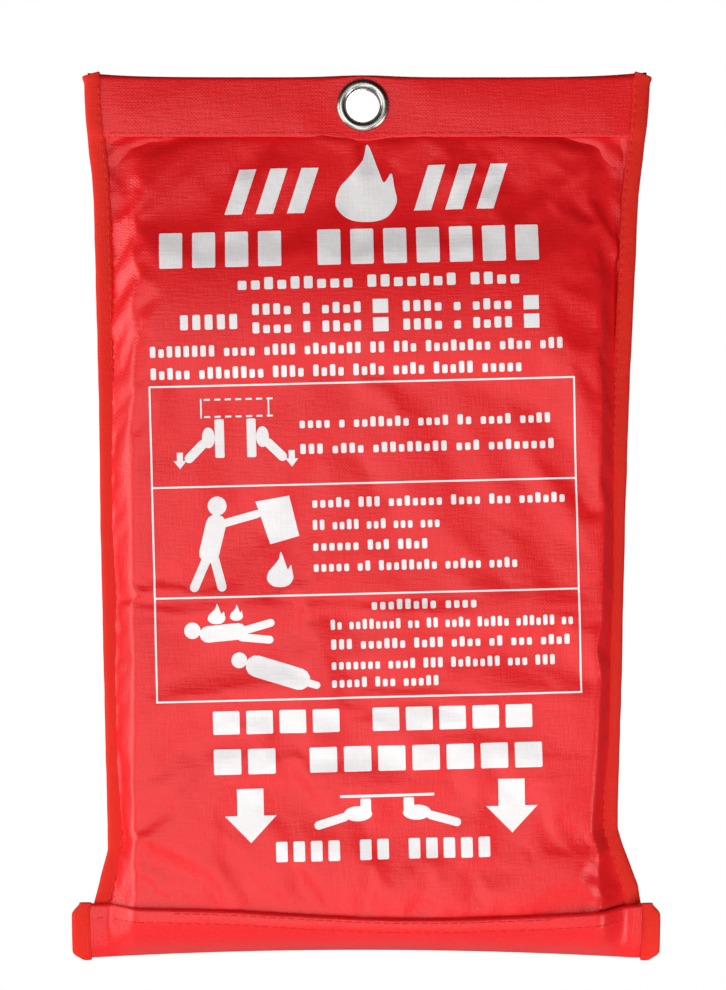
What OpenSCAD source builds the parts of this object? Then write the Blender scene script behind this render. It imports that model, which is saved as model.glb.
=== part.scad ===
// Soft fire blanket pouch, hung from one eyelet, with the folded blanket and its pull tapes inside.
// +Z is up, +Y points to the wall, the printed front faces -Y. The origin is the eyelet's centre.

/* [Pouch] */
// Width across the top corners of the pouch, bindings included
pouch_w = 188; // [184:1:190]
// Narrowest width, just above the flap
waist_w = 168.4; // [168:0.2:170]
// Width where the side bindings go under the flap
mouth_w = 178; // [176:1:182]
// Height of the top edge above the eyelet's centre
header_top = 9; // [8.5:0.5:12]
// Height of the doubled header band
header_h = 19.2; // [18.6:0.2:22]
// Thickness of one layer of coated fabric
fabric_t = 0.6; // [0.5:0.05:0.6]
// Width of the folded binding tape on the side edges
binding_w = 6; // [5:0.5:6]

/* [Folded blanket] */
// Width of the folded blanket
pack_w = 152; // [148:1:152]
// Thickness of the folded blanket
pack_t = 22; // [18:0.5:22]
// Height of the pack's top edge
pack_top = -14; // [-16:0.5:-14]
// Height of the pack's lower edge
pack_bottom = -259; // [-259:0.5:-257]
// Length over which the pack thins towards its top edge
nose_len = 52; // [48:1:52]

/* [Closure flap] */
// Width of the flap, end bindings included
flap_w = 193.8; // [192:0.2:196]
// Height of the flap's upper edge at its two ends
flap_end_z = -262.6; // [-263:0.1:-262]
// How far the upper edge dips at the middle
flap_dip = 6; // [5:0.5:7]
// Height of the bottom fold
flap_bottom = -281; // [-282:0.5:-280]
// Height of the turned hem on the flap's upper edge
hem_h = 5.4; // [5:0.1:6]
// Width of the binding on each end of the flap
flap_binding_w = 7; // [6:0.5:7.5]

/* [Eyelet] */
// Diameter of the hanging hole
eyelet_bore_d = 11; // [10:0.5:11]
// Outer diameter of the eyelet's flanges
eyelet_flange_d = 17.5; // [17:0.5:18]
// Height of the rounded flange
eyelet_flange_h = 1.6; // [1.4:0.1:2]

/* [Pull tapes] */
// Width of the tape webbing
tape_w = 16; // [15:0.5:16]
// Thickness of the doubled tape
tape_t = 1.8; // [1.4:0.1:1.8]
// Distance from the middle of the pouch to each tape
tape_x = 62; // [58:1:62]
// Distance from the middle of the pouch to the tucked end of each tape
tape_end_x = 4; // [4:1:12]

/* [Hidden] */

red = "#d8232a";
dark_red = "#b3151c";
glass_white = "#ece8dc";
nickel = "#c8c8c4";
webbing = "#222222";

// Heights of the places where the outline changes
header_bottom = header_top - header_h;
bulge_top = header_bottom - 0.5;
waist_z = -245;
mouth_z = -263.7;
fold_gap = 0.6;
hinge_gap = 0.6;

// Room between the pack and the cloth, and between neighbours on different bodies
pack_gap = 0.8;
part_gap = 0.3;
seat_gap = 0.02;

// Inner half depth of the pouch where the pack is thickest
pouch_depth = pack_t / 2 + pack_gap;
// Exponents of the taper: how late it starts, and how bluntly it ends
taper_start = 1.6;
taper_end = 0.8;
// Exponents of the rounded-box sections: higher is squarer
pack_square = 5;
waist_square = 5;
mouth_square = 4;
top_square = 2.6;

// Strips, folds and threads
strip_t = 0.6;
strip_half = 62;
flap_reach = 2.1;
flap_level_x = 88;
flap_flat_y = 2.1;
fold_y = 1.5;
thread_d = 0.36;
stitch_pitch = 4;
stitch_share = 0.7;
stitch_sides = 4;
seam_inset = 1.3;

// Straight edge of the pouch from its top corner in to the waist and out to the mouth
function edge_half(z) = lookup(z, [[mouth_z, mouth_w / 2], [waist_z, waist_w / 2],
                                   [header_top, pouch_w / 2]]) - fabric_t;
function seam_half(z) = edge_half(z) - binding_w;

// Share of the full thickness left at t along the taper, from 0 where it starts to 1 at the top
function taper(t) = t <= 0 ? 1 : pow(max(0, 1 - pow(min(t, 1), taper_start)), taper_end);
// Half thickness of the pack: even, and thinning towards its top edge
function pack_half(z) = pack_t / 2 * taper((z - (pack_top - nose_len)) / nose_len);
// Inner half depth of the pouch: it follows the pack and closes at the header
function depth(z) = pouch_depth * taper((z - (bulge_top - nose_len)) / nose_len);
function square_of(z) = lookup(z, [[mouth_z, mouth_square], [waist_z, waist_square],
                                   [pack_top - nose_len, 4], [header_bottom, top_square]]);

// A point of a rounded-box section with half sizes a and b, at angle s from the front's middle
function box_point(a, b, n, s) =
    [sign(sin(s)) * a * pow(abs(sin(s)), 2 / n), -sign(cos(s)) * b * pow(abs(cos(s)), 2 / n)];
// Depth of the same section at a given x
function box_depth(a, b, n, x) = b * pow(max(0, 1 - pow(min(1, abs(x) / a), n)), 1 / n);

// Upper edge of the flap, lowest at the middle and level along its flat ends
function flap_top(x) = flap_end_z - flap_dip * (1 - pow(min(1, abs(x) / flap_level_x), 2.5));
// How far the flap stands in front of the middle plane where it hugs the pouch
function flap_y(x) = max(flap_flat_y, box_depth(seam_half(mouth_z) + flap_reach + 1,
                                                pouch_depth + flap_reach, mouth_square, x));
// Lower edge of the front panel, a little below the flap's upper edge
function lip_z(x) = flap_top(x) - 4.5;

// --- Sheets of cloth -------------------------------------------------------------------------
function unit(v) = v / norm(v);
function flat(rows) = [for (r = rows) each r];
function normal_at(g, i, j) =
    let (m = len(g) - 1, n = len(g[0]) - 1)
    unit(cross(g[min(i + 1, m)][j] - g[max(i - 1, 0)][j], g[i][min(j + 1, n)] - g[i][max(j - 1, 0)]));

// A sheet of thickness t on the outer side of a grid whose rows run downwards
module cloth(g, t) {
    m = len(g);
    n = len(g[0]);
    k = m * n;
    inner = flat(g);
    outer = [for (i = [0 : m - 1], j = [0 : n - 1]) g[i][j] + t * normal_at(g, i, j)];
    cells = [for (i = [0 : m - 2], j = [0 : n - 2]) i * n + j];
    rim = concat([for (j = [0 : n - 2]) [j, j + 1]],
                 [for (i = [0 : m - 2]) [i * n + n - 1, (i + 1) * n + n - 1]],
                 [for (j = [n - 1 : -1 : 1]) [(m - 1) * n + j, (m - 1) * n + j - 1]],
                 [for (i = [m - 1 : -1 : 1]) [i * n, (i - 1) * n]]);
    faces = concat([for (c = cells) each [[c, c + 1, c + n], [c + 1, c + n + 1, c + n]]],
                   [for (c = cells) each [[k + c, k + c + n, k + c + 1],
                                          [k + c + 1, k + c + n, k + c + n + 1]]],
                   [for (e = rim) each [[e[0], k + e[0], e[1]], [e[1], k + e[0], k + e[1]]]]);
    polyhedron(points = concat(inner, outer), faces = faces);
}

// Slides a grid out along its own normals
function lifted(g, d) =
    [for (i = [0 : len(g) - 1]) [for (j = [0 : len(g[0]) - 1]) g[i][j] + d * normal_at(g, i, j)]];

// A solid through rings of points, each ring level, from the top ring down
module loft(rings) {
    m = len(rings);
    n = len(rings[0]);
    sides = [for (i = [0 : m - 2], j = [0 : n - 1])
             each [[i * n + j, i * n + (j + 1) % n, (i + 1) * n + j],
                   [i * n + (j + 1) % n, (i + 1) * n + (j + 1) % n, (i + 1) * n + j]]];
    polyhedron(points = flat(rings),
               faces = concat(sides, [[for (j = [n - 1 : -1 : 0]) j]], [[for (j = [0 : n - 1]) (m - 1) * n + j]]));
}

// A flat shape drawn in x and z, made solid from y0 back to y1
module slab(y0, y1) {
    translate([0, y1, 0])
    rotate([90, 0, 0])
    linear_extrude(height = y1 - y0)
    children();
}

// --- Stitches --------------------------------------------------------------------------------
module stick(p, q) {
    d = q - p;
    translate(p)
    rotate([0, acos(d[2] / norm(d)), atan2(d[1], d[0])])
    cylinder(d = thread_d, h = norm(d), $fn = stitch_sides);
}

// One stitch on each stretch between neighbouring points
module stitches(points) {
    for (i = [0 : len(points) - 2])
        stick(points[i], points[i] + stitch_share * (points[i + 1] - points[i]));
}

function steps(a, b) = max(2, round(abs(b - a) / stitch_pitch));
function along(p, q) = let (n = steps(0, norm(q - p))) [for (i = [0 : n]) p + (q - p) * i / n];

// --- Pouch -----------------------------------------------------------------------------------
panel_levels = [header_bottom, bulge_top, -11.4, -12.5, -14.5, -18, -23, -30, -40, -52, -70, -110, -160, -205, waist_z];
panel_angles = [-90 : 10 : 90];

// One row of the front panel: a flat margin, the bulging section, a flat margin
function panel_row(z, zs) =
    concat([[-edge_half(z), 0, zs]],
           [for (s = panel_angles) let (p = box_point(seam_half(z), depth(z), square_of(z), s)) [p[0], p[1], zs]],
           [[edge_half(z), 0, zs]]);

// The lip: the mouth's section without its margins, cut to follow the flap's upper edge
function lip_row() =
    [for (p = panel_row(mouth_z, mouth_z))
     let (x = sign(p[0]) * min(abs(p[0]), seam_half(mouth_z) + (abs(p[0]) > edge_half(mouth_z) - 1 ? 0.5 : 0)))
     [x, p[1], lip_z(x)]];

function header_row() = [for (p = panel_row(header_bottom, 0)) [p[0], 0, header_top - fabric_t - seat_gap]];
function panel_grid() = concat([header_row()], [for (z = panel_levels) panel_row(z, z)], [panel_row(mouth_z, mouth_z)]);

module eyelet_hole() {
    rotate([90, 0, 0])
    cylinder(d = eyelet_bore_d + 2 * eyelet_wall + 0.2, h = 10, center = true, $fn = 48);
}

module back_panel() {
    color(red)
    difference() {
        mirror([0, 1, 0]) cloth(panel_grid(), fabric_t);
        eyelet_hole();
    }
}

module front_panel() {
    color(red)
    difference() {
        cloth(concat(panel_grid(), [lip_row()]), fabric_t);
        eyelet_hole();
    }
}

header_half = edge_half(header_bottom);

// Folded strip: open below, closed along the top edge
module header_band() {
    layer = 2 * fabric_t;
    color(red)
    difference() {
        slab(-layer, layer)
            polygon([[-header_half, header_bottom], [header_half, header_bottom],
                     [header_half, header_top], [-header_half, header_top]]);
        slab(-fabric_t, fabric_t)
            polygon([[-pouch_w, header_bottom - 1], [pouch_w, header_bottom - 1],
                     [pouch_w, header_top - fabric_t], [-pouch_w, header_top - fabric_t]]);
        eyelet_hole();
    }
}

// Outline of the binding between two heights, from its inner edge to reach past the cloth's edge
module binding_outline(z_hi, z_lo, reach, inset) {
    heights = z_lo < waist_z ? [z_hi, waist_z, z_lo] : [z_hi, z_lo];
    polygon(concat([for (z = heights) [edge_half(z) + reach, z]],
                   [for (i = [len(heights) - 1 : -1 : 0]) [seam_half(heights[i]) + inset, heights[i]]]));
}

// Tape with turned edges, folded round the panels, and round the thicker header above them
module side_binding() {
    outer = 3 * fabric_t;
    difference() {
        slab(-outer, outer) binding_outline(header_top + fabric_t, mouth_z, fabric_t, seam_inset);
        slab(-2 * fabric_t, 2 * fabric_t) binding_outline(header_top + 2, header_bottom, 0, 0);
        slab(-fabric_t, fabric_t) binding_outline(header_top, mouth_z - 1, 0, 0);
    }
}

module side_binding_left() {
    color(red) mirror([1, 0, 0]) side_binding();
}

module side_binding_right() {
    color(red) side_binding();
}

// Surface of the front panel's outer face near the mouth, between two heights below the flap's top
function lip_grid(down_a, down_b, out) =
    [for (d = [down_a, down_b])
     [for (x = [-strip_half : strip_half / 8 : strip_half])
      [x, -box_depth(seam_half(mouth_z) + out, pouch_depth + out, mouth_square, x), flap_top(x) - d]]];

module loop_strip() {
    color(dark_red) cloth(lip_grid(0.6, 4.2, fabric_t + 0.06), strip_t);
}

module loop_strip_seam() {
    seat = fabric_t + strip_t + 0.06 + thread_d / 2;
    n = steps(-strip_half, strip_half);
    color(dark_red)
    stitches([for (i = [1 : n - 1]) let (x = strip_half * (2 * i / n - 1))
              [x, -box_depth(seam_half(mouth_z) + seat, pouch_depth + seat, mouth_square, x),
               flap_top(x) + 0.2]]);
}

module header_seam() {
    y = -2 * fabric_t - thread_d / 2;
    z = header_bottom + 0.8;
    color(dark_red)
    stitches(along([-seam_half(z) + 2, y, z], [seam_half(z) - 2, y, z]));
}

module side_seam() {
    y = -3 * fabric_t - thread_d / 2;
    inset = seam_inset + 0.8;
    stitches(along([seam_half(header_bottom) + inset, y, header_bottom - 2], [seam_half(waist_z) + inset, y, waist_z]));
    stitches(along([seam_half(waist_z) + inset, y, waist_z - 1], [seam_half(mouth_z) + inset, y, mouth_z + 3]));
}

module side_seam_left() {
    color(dark_red) mirror([1, 0, 0]) side_seam();
}

module side_seam_right() {
    color(dark_red) side_seam();
}

// --- Eyelet ----------------------------------------------------------------------------------
eyelet_wall = 0.6;
eyelet_seat = 2 * fabric_t;
eyelet_r = eyelet_bore_d / 2;
flange_r = eyelet_flange_d / 2;
clinch_r = eyelet_r + 1.9;
washer_t = 1.2;

// Half oval that stands up from the line v = 0 between two radii
function dome(r0, r1, h) =
    [for (a = [0 : 10 : 180]) [(r0 + r1) / 2 - (r1 - r0) / 2 * cos(a), h * sin(a)]];

module ring_about_y(profile) {
    rotate([90, 0, 0]) rotate_extrude($fn = 96) polygon(profile);
}

// Flanged barrel: rounded flange in front, straight bore, and a lip clinched over the washer behind
module eyelet_barrel() {
    back = -eyelet_seat - washer_t;
    color(nickel)
    union() {
        translate([0, -eyelet_seat, 0]) ring_about_y(dome(eyelet_r, flange_r, eyelet_flange_h));
        ring_about_y([[eyelet_r, back], [eyelet_r + eyelet_wall, back],
                      [eyelet_r + eyelet_wall, eyelet_seat], [eyelet_r, eyelet_seat]]);
        translate([0, -back, 0]) mirror([0, 1, 0]) ring_about_y(dome(eyelet_r, clinch_r, 0.8));
    }
}

module eyelet_washer() {
    inner = eyelet_r + eyelet_wall + 0.1;
    color(nickel)
    translate([0, eyelet_seat, 0])
    mirror([0, 1, 0])
    ring_about_y([[inner, 0], [flange_r, 0], [flange_r, 0.5], [flange_r - 0.8, 1.0],
                  [clinch_r, washer_t], [inner, washer_t]]);
}

// --- Flap ------------------------------------------------------------------------------------
flap_columns = [0, 20, 40, 56, 66, 74, 79, 82.5, 85, 86.6, 88.4];
flap_half = flap_w / 2 - fabric_t;
function both_ways(xs) = concat([for (i = [len(xs) - 1 : -1 : 1]) -xs[i]], xs);

// Flap front from its upper edge (0) past the hem (1) to the bottom fold (2) at one x
function flap_point(x, row) =
    let (hem = [-flap_y(x), flap_top(x) - hem_h], foot = [fold_y - fold_gap / 2, flap_bottom + fold_gap],
         flat_end = abs(x) > flap_columns[9])
    row == 0 ? [x, -flap_y(x), flap_top(x)]
    : row == 1 ? (flat_end ? [x, -flap_y(x) + 0.7, hem[1]] : [x, hem[0], hem[1]])
    : row == 2 ? [x, (hem[0] + foot[0]) / 2 - (flat_end ? 0 : 0.8), (hem[1] + foot[1]) / 2 - 0.8]
    : [x, foot[0], foot[1]];
function flap_grid(xs) = [for (row = [0 : 3]) [for (x = xs) flap_point(x, row)]];

module flap_front() {
    color(red) cloth(flap_grid(both_ways(concat(flap_columns, [flap_half]))), fabric_t);
}

// Cloth under the pack, from the back panel's lower edge to the bottom fold
module flap_base() {
    xs = both_ways([0, 20, 40, 56, 66, 74, 79, 82]);
    top = [for (x = xs) [x, -box_depth(seam_half(mouth_z), pouch_depth, mouth_square, x), mouth_z - hinge_gap]];
    foot = [for (x = xs) [x, -fold_y - fold_gap / 2, flap_bottom + fold_gap]];
    color(red) mirror([0, 1, 0]) cloth([top, (top + foot) / 2, foot], fabric_t);
}

// A flat shape drawn in y and z, made solid from x0 to x1
module bar(x0, x1) {
    translate([x0, 0, 0])
    rotate([90, 0, 90])
    linear_extrude(height = x1 - x0)
    children();
}

// A layer over the flap's flat end, between two distances outside the flap's inner face
module end_layer(a, b) {
    ends = flap_grid([flap_half - 1, flap_half]);
    near = [for (row = lifted(ends, a)) [row[0][1], row[0][2]]];
    far = [for (row = lifted(ends, b)) [row[0][1], row[0][2]]];
    polygon(concat(near, [far[3], far[2], far[1], far[0]]));
}

// Tape folded round the flap's end: an outer layer, an inner layer and the edge that joins them
module flap_binding() {
    start = flap_half + fabric_t - flap_binding_w;
    edge = flap_half + seat_gap;
    bar(start, edge) end_layer(fabric_t + seat_gap, 2 * fabric_t + seat_gap);
    bar(start, edge) end_layer(-fabric_t - seat_gap, -seat_gap);
    bar(edge, flap_half + fabric_t) end_layer(-fabric_t - seat_gap, 2 * fabric_t + seat_gap);
}

module flap_binding_left() {
    color(red) mirror([1, 0, 0]) flap_binding();
}

module flap_binding_right() {
    color(red) flap_binding();
}

module hook_strip() {
    xs = [-strip_half : strip_half / 8 : strip_half];
    grid = [for (d = [0.7, 4.3]) [for (x = xs) [x, -flap_y(x) + strip_t + 0.2, flap_top(x) - d]]];
    color(dark_red) cloth(grid, strip_t);
}

// A row of stitches on the flap's outer face, a set distance below its upper edge
module flap_row(down, reach) {
    n = steps(-reach, reach);
    color(dark_red)
    stitches([for (i = [0 : n]) let (x = reach * (2 * i / n - 1))
              [x, -flap_y(x) - fabric_t - thread_d / 2 - 0.06, flap_top(x) - down]]);
}

module flap_hem_seam() {
    flap_row(hem_h - 1, 80);
}

module hook_strip_seam() {
    flap_row(1.2, 60);
}

module flap_binding_seams() {
    x = flap_half + fabric_t - flap_binding_w + 1;
    proud = 2 * fabric_t + thread_d / 2 + 0.1;
    color(dark_red)
    for (side = [-1, 1]) {
        rows = lifted(flap_grid(side > 0 ? [x, x + 1] : [-x, 1 - x]), proud);
        for (i = [0 : 2])
            stitches(along(rows[i][0], rows[i + 1][0]));
    }
}

// --- Folded blanket and pull tapes -----------------------------------------------------------
tape_fold_z = pack_bottom - 2 - tape_w / 2;
tape_front_y = -0.1;
anchor_y = tape_front_y + tape_t + part_gap;
anchor_in = 22;
pack_levels = [pack_top - 1.2, -17, -20, -25, -32, -42, -60, -120, -190, pack_bottom + 5, pack_bottom + 2];

function pack_ring(z, shrink) =
    [for (s = [0 : 12 : 348])
     let (p = box_point(pack_w / 2 - shrink, pack_half(z) - shrink / 2, pack_square, s)) [p[0], p[1], z]];

module folded_blanket() {
    color(glass_white)
    difference() {
        loft(concat([pack_ring(pack_levels[0], 2)],
                    [for (i = [1 : len(pack_levels) - 1]) pack_ring(pack_levels[i], i == 1 ? 0.8 : 0)],
                    [pack_ring(pack_bottom, 1.5)]));
        for (side = [-1, 1])
            translate([side * tape_x - tape_w / 2 - 0.1, anchor_y - 0.1, pack_bottom - 1])
            cube([tape_w + 0.2, tape_t + 0.2, anchor_in + 1.1]);
    }
}

module blanket_hem_stitching() {
    x = 44;
    y = -box_depth(pack_w / 2, pack_t / 2, pack_square, x) - thread_d / 2 - 0.04;
    color(glass_white)
    stitches(along([x, y, -66], [x, y, pack_bottom + 7]));
}

// The tape's sewn end: straight down out of the pack, to the slanting fold
module tape_anchor() {
    color(webbing)
    slab(anchor_y, anchor_y + tape_t)
        polygon([[tape_x - tape_w / 2, pack_bottom + anchor_in], [tape_x - tape_w / 2, tape_fold_z - tape_w / 2],
                 [tape_x + tape_w / 2, tape_fold_z + tape_w / 2], [tape_x + tape_w / 2, pack_bottom + anchor_in]]);
}

// The free end: from the slanting fold it lies inwards under the pack
module pull_tape() {
    color(webbing)
    slab(tape_front_y, tape_front_y + tape_t)
        polygon([[tape_end_x, tape_fold_z - tape_w / 2], [tape_x - tape_w / 2, tape_fold_z - tape_w / 2],
                 [tape_x + tape_w / 2, tape_fold_z + tape_w / 2], [tape_end_x, tape_fold_z + tape_w / 2]]);
}

// Two cross rows that close the tape's doubled end
module tape_stitching() {
    y = tape_front_y - thread_d / 2 - seat_gap;
    reach = tape_w / 2 - 2;
    color("dimgray")
    for (x = [tape_end_x + 3, tape_end_x + 8])
        stitches(along([x, y, tape_fold_z - reach], [x, y, tape_fold_z + reach]));
}

module tape_anchor_left() {
    mirror([1, 0, 0]) tape_anchor();
}

module tape_anchor_right() {
    tape_anchor();
}

module pull_tape_left() {
    mirror([1, 0, 0]) pull_tape();
}

module pull_tape_right() {
    pull_tape();
}

module tape_stitching_left() {
    mirror([1, 0, 0]) tape_stitching();
}

module tape_stitching_right() {
    tape_stitching();
}

back_panel();
front_panel();
header_band();
side_binding_left();
side_binding_right();
loop_strip();
eyelet_barrel();
eyelet_washer();
header_seam();
side_seam_left();
side_seam_right();
loop_strip_seam();
flap_base();
flap_front();
flap_binding_left();
flap_binding_right();
hook_strip();
flap_hem_seam();
hook_strip_seam();
flap_binding_seams();
folded_blanket();
blanket_hem_stitching();
tape_anchor_left();
tape_anchor_right();
pull_tape_left();
pull_tape_right();
tape_stitching_left();
tape_stitching_right();
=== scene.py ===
"""Looks of the fire blanket in its soft pouch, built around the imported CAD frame.

Lengths in the shape functions are millimetres in the CAD frame: +Z up, the front faces -Y.
They become metres where a mesh is made.
"""

import math

import bmesh
import bpy
import numpy as np
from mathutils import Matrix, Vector, noise
from mathutils.bvhtree import BVHTree


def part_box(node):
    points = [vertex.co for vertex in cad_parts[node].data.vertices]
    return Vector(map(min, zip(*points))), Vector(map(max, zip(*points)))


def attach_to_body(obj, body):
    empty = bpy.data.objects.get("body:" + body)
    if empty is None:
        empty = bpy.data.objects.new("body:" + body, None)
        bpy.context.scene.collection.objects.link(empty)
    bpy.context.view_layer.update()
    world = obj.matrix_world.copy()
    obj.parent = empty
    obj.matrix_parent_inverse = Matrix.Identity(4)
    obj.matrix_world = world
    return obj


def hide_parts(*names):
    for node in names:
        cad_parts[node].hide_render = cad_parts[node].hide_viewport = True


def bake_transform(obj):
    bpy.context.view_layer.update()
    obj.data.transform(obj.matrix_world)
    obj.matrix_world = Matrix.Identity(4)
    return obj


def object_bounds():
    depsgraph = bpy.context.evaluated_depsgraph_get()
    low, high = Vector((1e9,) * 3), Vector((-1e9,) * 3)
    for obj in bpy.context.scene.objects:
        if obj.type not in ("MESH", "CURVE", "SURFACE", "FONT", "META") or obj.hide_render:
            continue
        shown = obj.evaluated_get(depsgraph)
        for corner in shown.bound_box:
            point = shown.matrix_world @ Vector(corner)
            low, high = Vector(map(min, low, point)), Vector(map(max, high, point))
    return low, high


MM = 0.001

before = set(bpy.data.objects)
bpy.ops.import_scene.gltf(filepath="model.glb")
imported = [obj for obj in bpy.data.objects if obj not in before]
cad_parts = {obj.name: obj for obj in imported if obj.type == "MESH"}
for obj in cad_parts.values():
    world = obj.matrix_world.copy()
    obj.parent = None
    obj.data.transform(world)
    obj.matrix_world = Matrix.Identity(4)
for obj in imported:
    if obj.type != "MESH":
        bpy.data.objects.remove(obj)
cad_low, cad_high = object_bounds()


# --- Camera, light and floor ---
CAMERA_DISTANCE = 1.0
CAMERA_HEIGHT = -0.1282
VIEW_HEIGHT = 0.3262
SENSOR = 36.0


def add_object(name, data):
    thing = bpy.data.objects.new(name, data)
    bpy.context.scene.collection.objects.link(thing)
    return thing


def add_mesh(name, points, faces):
    mesh = bpy.data.meshes.new(name)
    mesh.from_pydata(points, [], faces)
    return add_object(name, mesh)


def make_camera():
    data = bpy.data.cameras.new("camera")
    data.sensor_width = SENSOR
    data.lens = SENSOR * CAMERA_DISTANCE / VIEW_HEIGHT
    data.clip_start, data.clip_end = 0.01, 50
    camera = add_object("camera", data)
    camera.location = (0, -CAMERA_DISTANCE, CAMERA_HEIGHT)
    camera.rotation_euler = (math.radians(90), 0, 0)
    bpy.context.scene.camera = camera


def area_light(name, azimuth, elevation, distance, size, power, target):
    """A soft square light that faces the target from a direction given in degrees."""
    a, e = math.radians(azimuth), math.radians(elevation)
    away = Vector((math.sin(a) * math.cos(e), -math.cos(a) * math.cos(e), math.sin(e)))
    data = bpy.data.lights.new(name, "AREA")
    data.shape, data.size, data.energy = "SQUARE", size, power
    light = add_object(name, data)
    light.location = Vector(target) + away * distance
    light.rotation_mode = "QUATERNION"
    light.rotation_quaternion = (-away).to_track_quat("-Z", "Y")


class Nodes:
    """A node tree: add() makes a node and fills its inputs with values or sockets."""

    def __init__(self, tree):
        self.tree = tree

    def add(self, kind, inputs=None, **settings):
        node = self.tree.nodes.new("ShaderNode" + kind)
        for key, value in settings.items():
            setattr(node, key, value)
        for key, value in (inputs or {}).items():
            self.fill(node.inputs[key], value)
        return node

    def fill(self, socket, value):
        if isinstance(value, bpy.types.NodeSocket):
            self.tree.links.new(value, socket)
        else:
            socket.default_value = value

    def math(self, operation, *values):
        return self.add("Math", dict(enumerate(values)), operation=operation).outputs[0]


# Axis, where the light starts to fall off, its strength there, where it ends, its strength there
WORLD_RAMPS = (("Z", 0.12, 0.32, 0.30, 0.03), ("X", 0.10, 1.0, 0.50, 0.3))


def make_world():
    """Pure white behind the object; what lights it is grey, and darker above and to the right."""
    world = bpy.data.worlds.new("studio")
    world.use_nodes = True
    bpy.context.scene.world = world
    world.node_tree.nodes.clear()
    nodes = Nodes(world.node_tree)
    axes = nodes.add("SeparateXYZ", {0: nodes.add("TexCoord").outputs["Generated"]}).outputs
    ramps = []
    for axis, start, bright, end, dark in WORLD_RAMPS:
        inputs = {"Value": axes[axis], "From Min": start, "From Max": end, "To Min": bright, "To Max": dark}
        ramps.append(nodes.add("MapRange", inputs, interpolation_type="SMOOTHSTEP").outputs["Result"])
    glow = nodes.add("Background", {"Strength": nodes.math("MULTIPLY", *ramps)}).outputs[0]
    white = nodes.add("Background", {"Color": (1, 1, 1, 1)}).outputs[0]
    seen = nodes.add("LightPath").outputs["Is Camera Ray"]
    nodes.add("OutputWorld", {"Surface": nodes.add("MixShader", {0: seen, 1: glow, 2: white}).outputs[0]})


FLOOR_HALF = 0.65
FLOOR_HEIGHT = -0.85
FLOOR_COLOUR = (0.8, 0.8, 0.79, 1)
FLOOR_ROUGHNESS = 0.8


def make_floor():
    signs = ((-1, -1), (1, -1), (1, 1), (-1, 1))
    corners = [(sx * FLOOR_HALF, sy * FLOOR_HALF, FLOOR_HEIGHT) for sx, sy in signs]
    floor = add_mesh("floor", corners, [(0, 1, 2, 3)])
    paint = bpy.data.materials.new("floor_paint")
    paint.use_nodes = True
    inputs = paint.node_tree.nodes["Principled BSDF"].inputs
    inputs["Base Color"].default_value = FLOOR_COLOUR
    inputs["Roughness"].default_value = FLOOR_ROUGHNESS
    floor.data.materials.append(paint)


make_camera()
make_world()
make_floor()
# Name, azimuth and elevation in degrees, distance and size in metres, power in watts
LIGHTS = [
    ("key", -22, -3, 1.2, 0.9, 5.4),
    ("right_front", 14, -6, 1.2, 0.40, 1.3),
    ("low_fill", -4, -38, 0.72, 0.4, 1.05),
    ("right_fill", 62, -28, 0.85, 0.45, 3.0),
    ("left_fill", -84, -8, 1.1, 0.9, 8.5),
    ("back_fill", 165, 15, 1.4, 0.9, 9.0),
]
for light_settings in LIGHTS:
    area_light(*light_settings, (cad_low + cad_high) / 2)
bpy.context.scene.view_settings.view_transform = "Standard"


# --- Materials ---
class Shader(Nodes):
    """The nodes of one material, laid out in the object's own space."""

    def __init__(self, name):
        self.material = bpy.data.materials.new(name)
        self.material.use_nodes = True
        super().__init__(self.material.node_tree)
        self.bsdf = self.tree.nodes["Principled BSDF"]
        self.place = self.add("TexCoord").outputs["Object"]

    def noise(self, size_mm, detail=2):
        """Smooth noise from 0 to 1 whose features are about this large."""
        scale = 1 / (size_mm * MM)
        inputs = {"Vector": self.place, "Scale": scale, "Detail": detail}
        return self.add("TexNoise", inputs).outputs["Fac"]

    def span(self, value, low, high):
        """A 0 to 1 socket stretched to run from low to high."""
        return self.math("MULTIPLY_ADD", value, high - low, low)

    def weave(self, pitch_mm, turn=0):
        """Over-and-under height of a plain weave, about -1 to 1, seen from the front."""
        inputs = {"Vector": self.place, "Rotation": (0, turn, 0), "Scale": (math.pi / (pitch_mm * MM),) * 3}
        turned = self.add("Mapping", inputs).outputs[0]
        axes = self.add("SeparateXYZ", {0: turned}).outputs
        across = self.math("MULTIPLY_ADD", axes["Y"], 0.3, axes["X"])
        return self.math("MULTIPLY", self.math("SINE", across), self.math("SINE", axes["Z"]))

    def threads(self, along_mm, across_mm, upright=False):
        """Noise drawn out into threads that run across, or up when upright."""
        along, across = 1 / (along_mm * MM), 1 / (across_mm * MM)
        scale = (across, 0.4 * across, along) if upright else (along, 0.4 * across, across)
        drawn = self.add("Mapping", {"Vector": self.place, "Scale": scale}).outputs[0]
        return self.add("TexNoise", {"Vector": drawn, "Scale": 1, "Detail": 1}).outputs["Fac"]

    def two_tone(self, factor, first, second):
        ramp = self.add("ValToRGB", {0: factor})
        ramp.color_ramp.elements[0].color = (*first, 1)
        ramp.color_ramp.elements[1].color = (*second, 1)
        self.fill(self.bsdf.inputs["Base Color"], ramp.outputs[0])

    def bump(self, height, depth_mm, after=None):
        inputs = {"Height": height, "Distance": depth_mm * MM, "Strength": 1}
        if after is not None:
            inputs["Normal"] = after
        return self.add("Bump", inputs).outputs[0]

    def finish(self, roughness, normal, **plain):
        """The finished material; plain settings go by their input's name, with _ for each space."""
        self.fill(self.bsdf.inputs["Roughness"], roughness)
        self.fill(self.bsdf.inputs["Normal"], normal)
        for key, value in plain.items():
            self.bsdf.inputs[key.replace("_", " ")].default_value = value
        return self.material


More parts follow.
